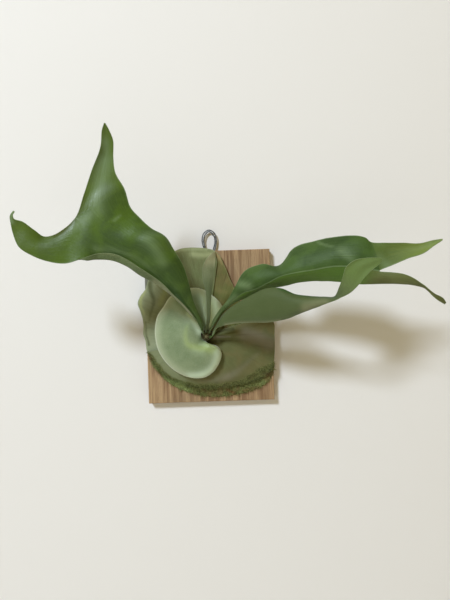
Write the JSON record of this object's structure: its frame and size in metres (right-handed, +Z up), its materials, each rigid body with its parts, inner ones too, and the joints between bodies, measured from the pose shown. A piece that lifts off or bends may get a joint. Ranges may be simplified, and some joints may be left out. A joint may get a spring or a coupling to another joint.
{
  "type": "mounted staghorn fern",
  "caption": "Staghorn fern on a small upright cedar board: rounded shield fronds over a moss pad, forked fronds that arch out to both sides, and a wire loop to hang it by.",
  "frame": {"origin": "centre of the board's back face", "axes": "+Z up the board, +X to the viewer's right, +Y into the wall, so the plant faces -Y"},
  "size_m": [0.4088, 0.1529, 0.2863],
  "materials": {
    "cedar": "planed, unfinished, vertical grain",
    "wire": "dull galvanised wire",
    "strap": "galvanised sheet",
    "screw": "zinc plated",
    "moss": "living sphagnum, rough",
    "nail": "galvanised",
    "rhizome": "scaly, dark brown",
    "old_shield_olive": "dull olive, thin papery leaf",
    "old_shield_grey": "dull grey-green, folded",
    "old_shield_green": "dull grey-green, pale rim",
    "old_shield_brown": "brown-olive, felted",
    "young_shield": "pale green, white felt",
    "frond": "glossy dark green",
    "frond_under": "satin grey-green",
    "young_frond": "felted pale green"
  },
  "bodies": {
    "root": {"board": "cedar", "hanging_loop": "wire", "loop_strap": "strap", "strap_screw_left": "screw", "strap_screw_right": "screw", "moss_pad": "moss", "moss_nail_1": "nail", "moss_nail_2": "nail", "moss_nail_3": "nail", "rhizome": "rhizome", "old_shield_upper_right": "old_shield_olive", "old_shield_left": "old_shield_grey", "old_shield_upper_left": "old_shield_green", "old_shield_lower": "old_shield_brown", "young_shield": "young_shield", "frond_left": "frond", "frond_right_upper": "frond", "frond_right_lower": "frond_under", "frond_middle": "young_frond"}
  },
  "joints": []
}
